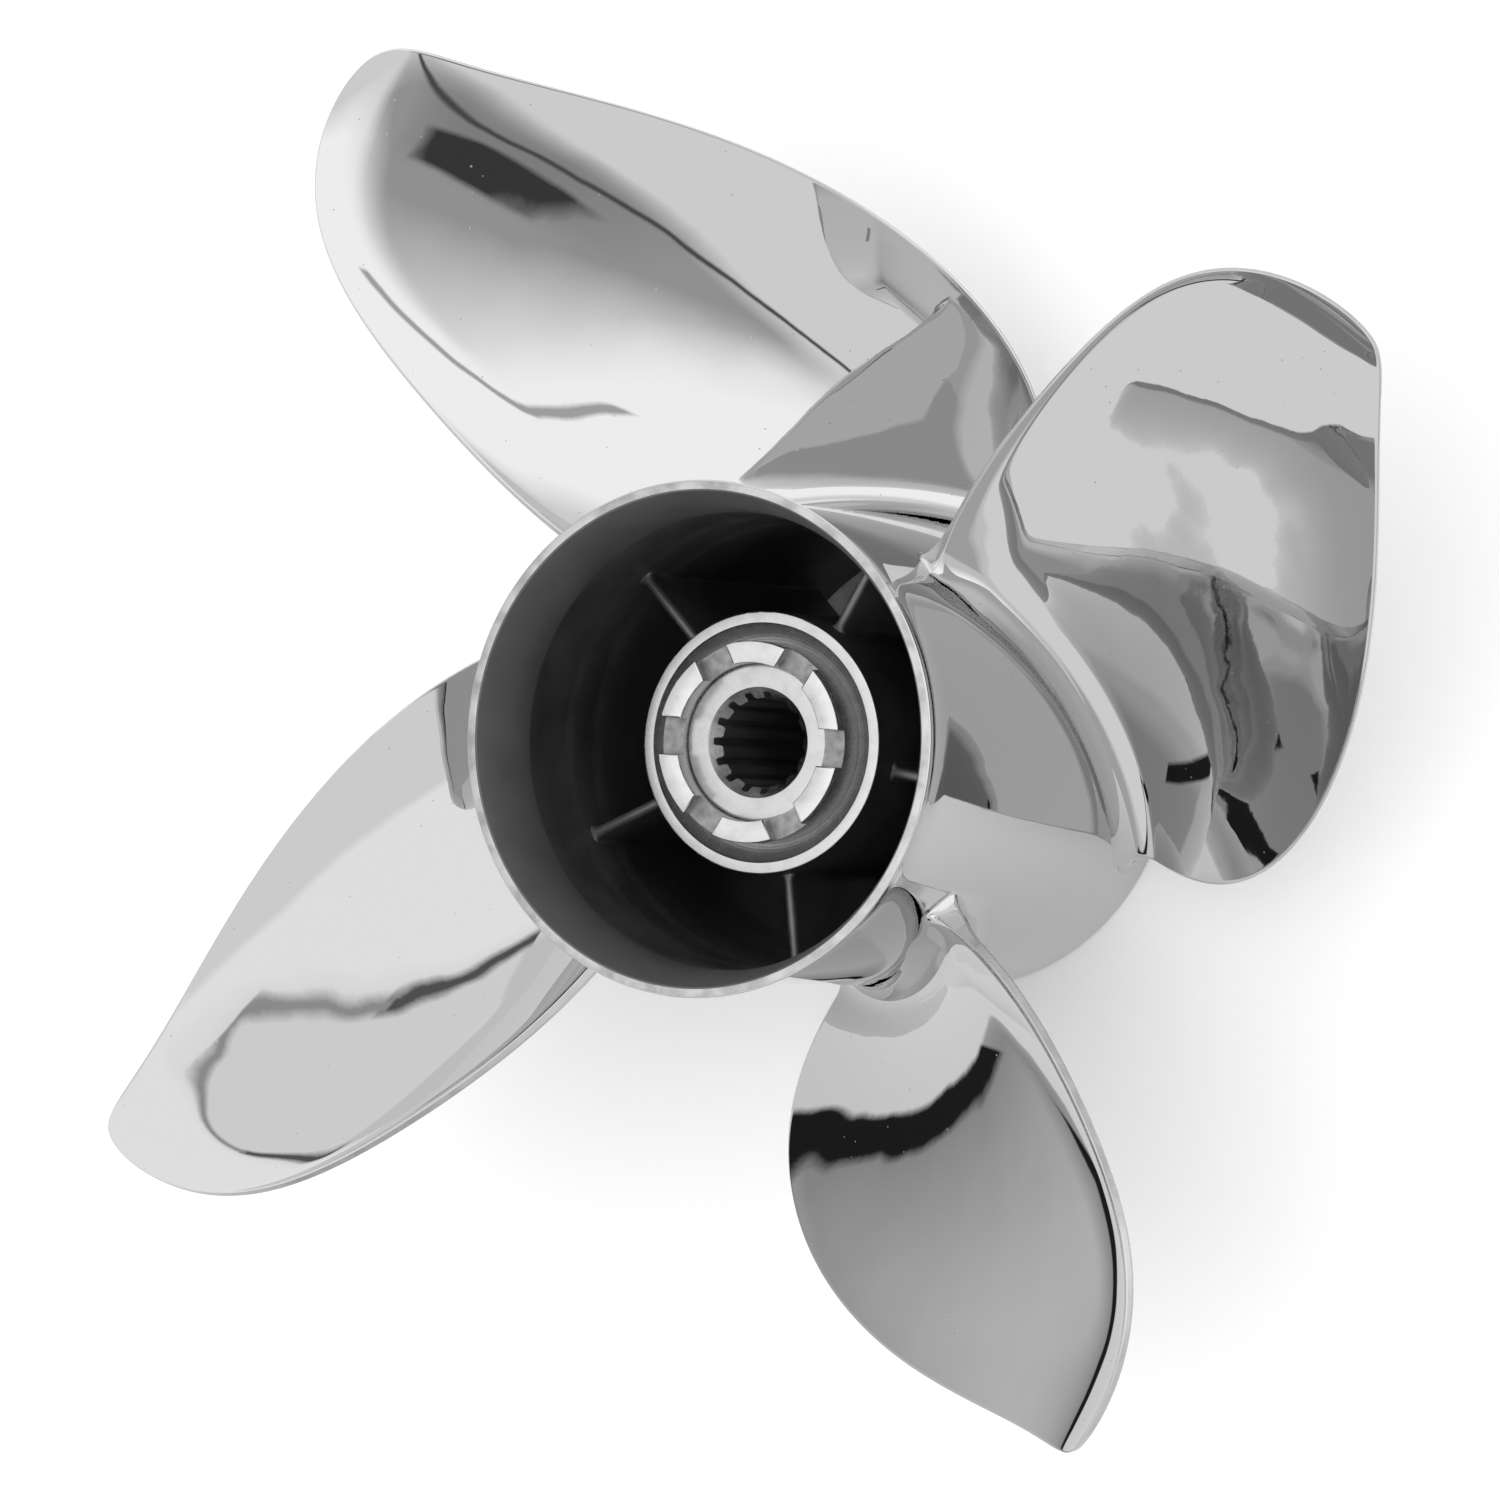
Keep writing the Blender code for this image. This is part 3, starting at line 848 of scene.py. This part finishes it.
@dataclass
class NotchedCollar:
    """The ring in the recess: six bright lands between rough notches."""

    radius: float = 0.0225
    bore: float = 0.0176
    aft_z: float = 0.1097
    foot_z: float = 0.0990
    notches: int = 6
    notch_width: float = 0.0082
    notch_depth: float = 0.0030
    first_notch: float = 43.5
    chamfer: float = 0.00028
    chamfer_from: float = 60.0
    chamfer_steps: int = 3
    steps: int = 180

    def notch_directions(self) -> list[Vector]:
        """The direction of each notch's middle."""
        angles = [math.radians(self.first_notch + 360 / self.notches * i) for i in range(self.notches)]
        return [Vector((math.cos(a), math.sin(a), 0)) for a in angles]

    def on_land(self, point: Vector) -> bool:
        """Whether a point lies on one of the raised lands."""
        return all(
            point.dot(way) < 0 or abs(point.cross(way).z) > self.notch_width / 2
            for way in self.notch_directions()
        )

    def build(self) -> None:
        """Makes the piece: a flat ring, cut along the notches' sides, its lands raised and its foot sunk."""
        floor_z = self.aft_z - self.notch_depth
        build = spun([(self.bore, floor_z), (self.radius, floor_z)], self.steps, closed=False)
        for way in self.notch_directions()[: self.notches // 2]:
            side = Vector((-way.y, way.x, 0))
            for offset in (-self.notch_width / 2, self.notch_width / 2):
                geometry = [*build.verts, *build.edges, *build.faces]
                cut = {"plane_co": side * offset, "plane_no": side}
                bmesh.ops.bisect_plane(build, geom=geometry, dist=MERGE, **cut)
        foot, _ = drawn_out(build, rims(build))
        for vert in foot:
            vert.co.z = self.foot_z
        lands = [
            face
            for face, middle in ((face, face.calc_center_median()) for face in build.faces)
            if middle.z > floor_z - MERGE and self.on_land(middle)
        ]
        raised = bmesh.ops.extrude_face_region(build, geom=lands)["geom"]
        bmesh.ops.delete(build, geom=lands, context="FACES_ONLY")
        moved = [item for item in raised if isinstance(item, BMVert)]
        bmesh.ops.translate(build, verts=moved, vec=(0, 0, self.notch_depth))
        bmesh.ops.bridge_loops(build, edges=rims(build))
        bmesh.ops.recalc_face_normals(build, faces=build.faces)
        self.soften(build)
        paint(build, 1, lambda middle, normal: abs(middle.z - floor_z) < NEAR and normal.z > LEVEL)
        paint(build, 2, lambda middle, normal: middle.z > self.aft_z - MERGE)
        place_piece(build, "notched_ring", (TURNED, NOTCH_FLOOR, FACED), ["notched_collar"])

    def soften(self, build: BMesh) -> None:
        """Rounds the lands' upper corners."""
        top = self.aft_z - MERGE
        corners = [
            edge
            for edge in build.edges
            if min(vert.co.z for vert in edge.verts) > top
            and edge.is_manifold
            and edge.calc_face_angle() > math.radians(self.chamfer_from)
        ]
        size = {"offset": self.chamfer, "segments": self.chamfer_steps, "profile": 0.5}
        bmesh.ops.bevel(build, geom=corners, offset_type="OFFSET", affect="EDGES", material=-1, **size)


@dataclass
class SplinedSleeve:
    """The sleeve on the propeller shaft: rounded shoulders, counterbored mouths and fifteen splines."""

    radius: float = 0.0177
    front_z: float = 0.003
    aft_z: float = 0.1047
    rounding: float = 0.0008
    counterbore: float = 0.0121
    mouth: float = 0.0026
    edge: float = 0.0003
    splines: int = 15
    first_groove: float = -1.9
    tooth_radius: float = 0.0100
    groove_radius: float = 0.0115
    groove_width: float = 0.0018
    tooth_chamfer: float = 0.0003
    tooth_steps: int = 5
    shoulder_steps: tuple[int, int] = (6, 8)

    def groove(self) -> list[Point2]:
        """Half the groove's outline: how far each corner lies from its middle line, and its radius."""
        half, chamfer = self.groove_width / 2, self.tooth_chamfer
        return [
            (0.0, self.groove_radius),
            (half - chamfer, self.groove_radius),
            (half, self.groove_radius - chamfer),
            (half, self.tooth_radius + chamfer),
            (half + chamfer, self.tooth_radius),
        ]

    def corners(self) -> list[Point2]:
        """The splined bore's outline: angle in radians and radius of each corner."""
        pitch = math.tau / self.splines
        right = [(math.asin(offset / radius), radius) for offset, radius in self.groove()]
        left = [(-angle, radius) for angle, radius in reversed(right[1:])]
        crest, count = pitch - 2 * right[-1][0], self.tooth_steps
        tooth = [(right[-1][0] + crest * i / count, self.tooth_radius) for i in range(1, count)]
        first = math.radians(self.first_groove)
        one = left + right + tooth
        return [(first + pitch * i + angle, radius) for i in range(self.splines) for angle, radius in one]

    def rings(self) -> list[tuple[float | None, float]]:
        """Radius and height of each ring round the section, with None where the ring follows the splines."""
        soft = self.rounding
        outer = self.radius - soft
        front, aft = self.shoulder_steps
        return [
            (None, self.front_z + self.mouth),
            (self.counterbore, self.front_z + self.edge),
            (self.counterbore + self.edge, self.front_z),
            *arc((outer, self.front_z + soft), soft, -90, 0, front),
            *arc((outer, self.aft_z - soft), soft, 0, 90, aft),
            (self.counterbore + self.edge, self.aft_z),
            (self.counterbore, self.aft_z - self.edge),
            (None, self.aft_z - self.mouth),
        ]

    def build(self) -> None:
        """Makes the piece: the splines' outline is drawn out into ring after ring, back to its start."""
        build = bmesh.new()
        corners = self.corners()
        number = build.verts.layers.int.new("corner")
        row = [build.verts.new() for _ in corners]
        edges = [build.edges.new(pair) for pair in zip(row, row[1:] + row[:1])]
        for i, vert in enumerate(row):
            vert[number] = i
        rings = self.rings()
        self.shape(row, number, rings[0])
        for ring in rings[1:] + rings[:1]:
            row, edges = drawn_out(build, edges)
            self.shape(row, number, ring)
        inside = self.groove_radius
        # The flanks inside the splined bore take the darker grey: painted shade
        paint(build, 1, lambda middle, normal: radius_of(middle) < inside and abs(normal.z) < UPRIGHT)
        place_piece(build, "spline_sleeve", (TURNED, BROACHED_SHADED), ["splined_sleeve"])

    def shape(self, row: list[BMVert], number: BMLayerItem, ring: tuple[float | None, float]) -> None:
        """Lays a row of vertices on a ring.

        Args:
            row: The vertices.
            number: The layer that holds each one's corner.
            ring: The ring's radius, or None where it follows the splines, and its height.
        """
        corners = self.corners()
        slope = (self.mouth - self.edge) / (self.counterbore - self.tooth_radius)
        slope = math.copysign(slope, ring[1] - self.aft_z / 2)
        for vert in row:
            angle, own = corners[vert[number]]
            radius = ring[0] or own
            z = ring[1] if ring[0] else ring[1] + slope * (own - self.tooth_radius)
            vert.co = (radius * math.cos(angle), radius * math.sin(angle), z)


@dataclass
class RubberBush:
    """The rubber between the sleeve and the hub's tube, dished at its open end."""

    outer: float = 0.0238
    inner: float = 0.0170
    front_z: float = 0.009
    aft_z: float = 0.0918
    dish: float = 0.0015
    dish_steps: int = 10
    steps: int = 96

    def build(self) -> None:
        """Makes the piece."""
        middle, half = (self.outer + self.inner) / 2, (self.outer - self.inner) / 2
        shares = [1 - 2 * i / self.dish_steps for i in range(self.dish_steps + 1)]
        face = [(middle + half * share, self.front_z + self.dish * (1 - share**2)) for share in shares]
        build = spun([(self.outer, self.aft_z), *face, (self.inner, self.aft_z)], self.steps)
        place_piece(build, "hub_bush", (RUBBER,), ["rubber_bush"])


# Studio


@dataclass(frozen=True)
class PhotoCamera:
    """The camera of the photograph, on a frame of 1500 x 1500 pixels."""

    focal_px: float = 13365.0
    frame_px: float = 1500.0
    sensor_mm: float = 36.0
    distance: float = 2.9454
    target: Point2 = (0.0, 0.135)
    tilt: float = 26.549
    nod: float = 1.458
    roll: float = 12.377
    offset_px: Point2 = (-53.58, -11.13)
    clip: Point2 = (0.1, 30.0)

    def axes(self) -> Matrix:
        """The camera's right, down and forward directions, as the rows of a matrix."""
        tilt, nod, roll = (math.radians(angle) for angle in (self.tilt, self.nod, self.roll))
        aft = Vector((-math.sin(tilt) * math.cos(nod), -math.sin(nod), -math.cos(tilt) * math.cos(nod)))
        up = Vector((0, -1, 0))
        y_way = (up - up.dot(aft) * aft).normalized()
        x_way = y_way.cross(aft)
        turned_x = math.cos(roll) * x_way + math.sin(roll) * y_way
        turned_y = -math.sin(roll) * x_way + math.cos(roll) * y_way
        return Matrix((turned_x, turned_y, aft)).transposed()

    def build(self) -> None:
        """Makes the scene's camera."""
        right, down, forward = self.axes()
        reach = self.distance / self.focal_px
        place = Vector((0, 0, self.target[1]))
        shift = right * self.offset_px[0] * reach + down * self.offset_px[1] * reach
        place -= shift + forward * self.distance
        data = bpy.data.cameras.new("photo_camera")
        data.lens = self.focal_px / self.frame_px * self.sensor_mm
        data.sensor_width = self.sensor_mm
        data.clip_start, data.clip_end = self.clip
        camera = bpy.data.objects.new("photo_camera", data)
        turn = Matrix((right, -down, -forward)).transposed().to_4x4()
        camera.matrix_world = Matrix.Translation(place) @ turn
        bpy.context.scene.collection.objects.link(camera)
        bpy.context.scene.camera = camera


@dataclass(frozen=True)
class Card:
    """A light or dark card of the studio, placed and sized by the angles that the steel sees it under."""

    azimuth: float
    elevation: float
    width: float
    height: float
    level: float
    softness: float = 1.0
    turn: float = 0.0

    def axes(self) -> tuple[Vector, Vector, Vector]:
        """The card's directions: outwards, along its width and along its height."""
        angles = (self.azimuth, self.elevation, self.turn)
        azimuth, elevation, turn = (math.radians(angle) for angle in angles)
        flat = math.cos(elevation)
        out = Vector((flat * math.cos(azimuth), flat * math.sin(azimuth), math.sin(elevation)))
        side = Vector((0, 0, 1)).cross(out).normalized()
        rise = out.cross(side)
        wide = side * math.cos(turn) + rise * math.sin(turn)
        return out, wide, out.cross(wide)

    def hang(self, graph: Graph, way: Socket, behind: Socket) -> Socket:
        """The brightness in a direction, with the card in front of what is behind it."""
        out, *spans = self.axes()
        depth = graph.dot(way, out)
        mask = graph.math("GREATER_THAN", depth, 0.0)
        for axis, size in zip(spans, (self.width, self.height)):
            offset = graph.math("ABSOLUTE", graph.math("DIVIDE", graph.dot(way, axis), depth))
            edges = [math.tan(math.radians((size + sign * self.softness) / 2)) for sign in (-1, 1)]
            mask = graph.math("MULTIPLY", mask, graph.spread(offset, 1.0, 0.0, edges))
        return graph.mix(mask, behind, self.level)


CARDS = (
    Card(-22, 51, 33, 22, 0.56, 4),
    Card(-2, 10, 66, 66, 1.69, 12),
    Card(82, -1.2, 63.5, 50, 1.45, 2, turn=-50.3),
    Card(107.4, 7.6, 22.5, 0.8, 0.15, 0.5, turn=-53.6),
    Card(94.9, 23.1, 18.8, 0.7, 0.50, 0.5, turn=-50.1),
    Card(161.3, -0.1, 58.7, 26, 0.87, 2, turn=-32.1),
    Card(155.4, -9.4, 58.7, 6, 0.27, 12, turn=-32.6),
    Card(147.4, -21.1, 58.7, 24, 1.05, 0.5, turn=-34.7),
    Card(151.4, -8, 50.7, 2.3, 0.02, 0.5, turn=-33.2),
    Card(-38, 49.8, 11, 5, 0.40, 5),
    Card(-33, 49.5, 6.5, 2.6, 0.07, 1),
    Card(-44.7, 45, 16.6, 0.8, 0.12, 0.5, turn=70.7),
    Card(2.6, 34.7, 8.5, 1.5, 0.68, 0.7, turn=6),
    Card(-92, -16, 84, 26, 0.66, 3),
    Card(-122, -2.5, 28.5, 2.1, 0.03, 0.5, turn=-11.9),
    Card(-136, -18, 4.6, 17, 0.03, 0.5),
)


@dataclass
class Studio:
    """A pale floor in a white tent, with the cards that polished steel needs for its contrast."""

    floor_radius: float = 4.0
    floor_steps: int = 128
    floor_grey: float = 0.95
    floor_roughness: float = 0.9
    seen_floor: float = 0.14
    seen_floor_x: float = 0.03
    plain: float = 1.0
    wall: float = 1.19
    table: float = 0.99
    roof: float = 1.86
    roof_from: Point2 = (55.0, 70.0)
    horizon: Point2 = (-0.01, 0.01)
    cards: tuple[Card, ...] = CARDS

    def build(self) -> None:
        """Makes the floor, the tent and the view."""
        self.floor()
        self.world()
        bpy.context.scene.view_settings.view_transform = "Standard"

    def floor(self) -> None:
        """Makes the floor: a disc that the steel reflects, and a ring round it that only the camera sees."""
        material = self.floor_material()
        parts = []
        middle, rest = (self.seen_floor,), (self.seen_floor, self.floor_radius)
        for name, rings in (("floor_middle", middle), ("floor_rest", rest)):
            build = bmesh.new()
            whole = len(rings) == 1
            for radius in rings:
                bmesh.ops.create_circle(build, cap_ends=whole, segments=self.floor_steps, radius=radius)
            if not whole:
                bmesh.ops.bridge_loops(build, edges=build.edges)
            bmesh.ops.translate(build, verts=build.verts, vec=(self.seen_floor_x, 0, 0))
            parts.append(linked(build, name, [material]))
        parts[1].visible_glossy = False

    def floor_material(self) -> bpy.types.Material:
        """A matt, nearly white surface."""
        made, graph = new_material("pale_floor")
        colour = (*[self.floor_grey] * 3, 1.0)
        graph.shade({"Base Color": colour, "Roughness": self.floor_roughness, "Specular IOR Level": 0.0})
        return made

    def world(self) -> None:
        """Makes the tent with its cards, which only the camera itself doesn't see."""
        world = bpy.data.worlds.new("studio_tent")
        bpy.context.scene.world = world
        world.use_nodes = True
        world.cycles.sampling_method = "NONE"
        graph = Graph(world.node_tree)
        way = graph.add("ShaderNodeTexCoord").outputs["Generated"]
        height = graph.add("ShaderNodeSeparateXYZ", {"Vector": way}).outputs["Z"]
        level = graph.spread(height, self.table, self.wall, self.horizon)
        roof = [math.sin(math.radians(angle)) for angle in self.roof_from]
        level = graph.math("ADD", level, graph.spread(height, 0.0, self.roof - self.wall, roof))
        for card in self.cards:
            level = card.hang(graph, way, level)
        from_camera = graph.add("ShaderNodeLightPath").outputs["Is Camera Ray"]
        level = graph.mix(from_camera, level, self.plain)
        background = graph.add("ShaderNodeBackground", {"Color": graph.grey(level)})
        graph.add("ShaderNodeOutputWorld", {"Surface": background.outputs[0]})


def main() -> None:
    """Builds the propeller's pieces, the studio and the camera."""
    logging.basicConfig(level=logging.INFO, format="%(name)s %(message)s")
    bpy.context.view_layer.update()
    PhotoCamera().build()
    Studio().build()
    Barrel().build()
    for number in range(1, Blade.count + 1):
        Blade(number).build()
    HubTube().build()
    for number in range(1, Rib.count + 1):
        Rib(number).build()
    NotchedCollar().build()
    SplinedSleeve().build()
    RubberBush().build()


if __name__ == "__main__":
    main()
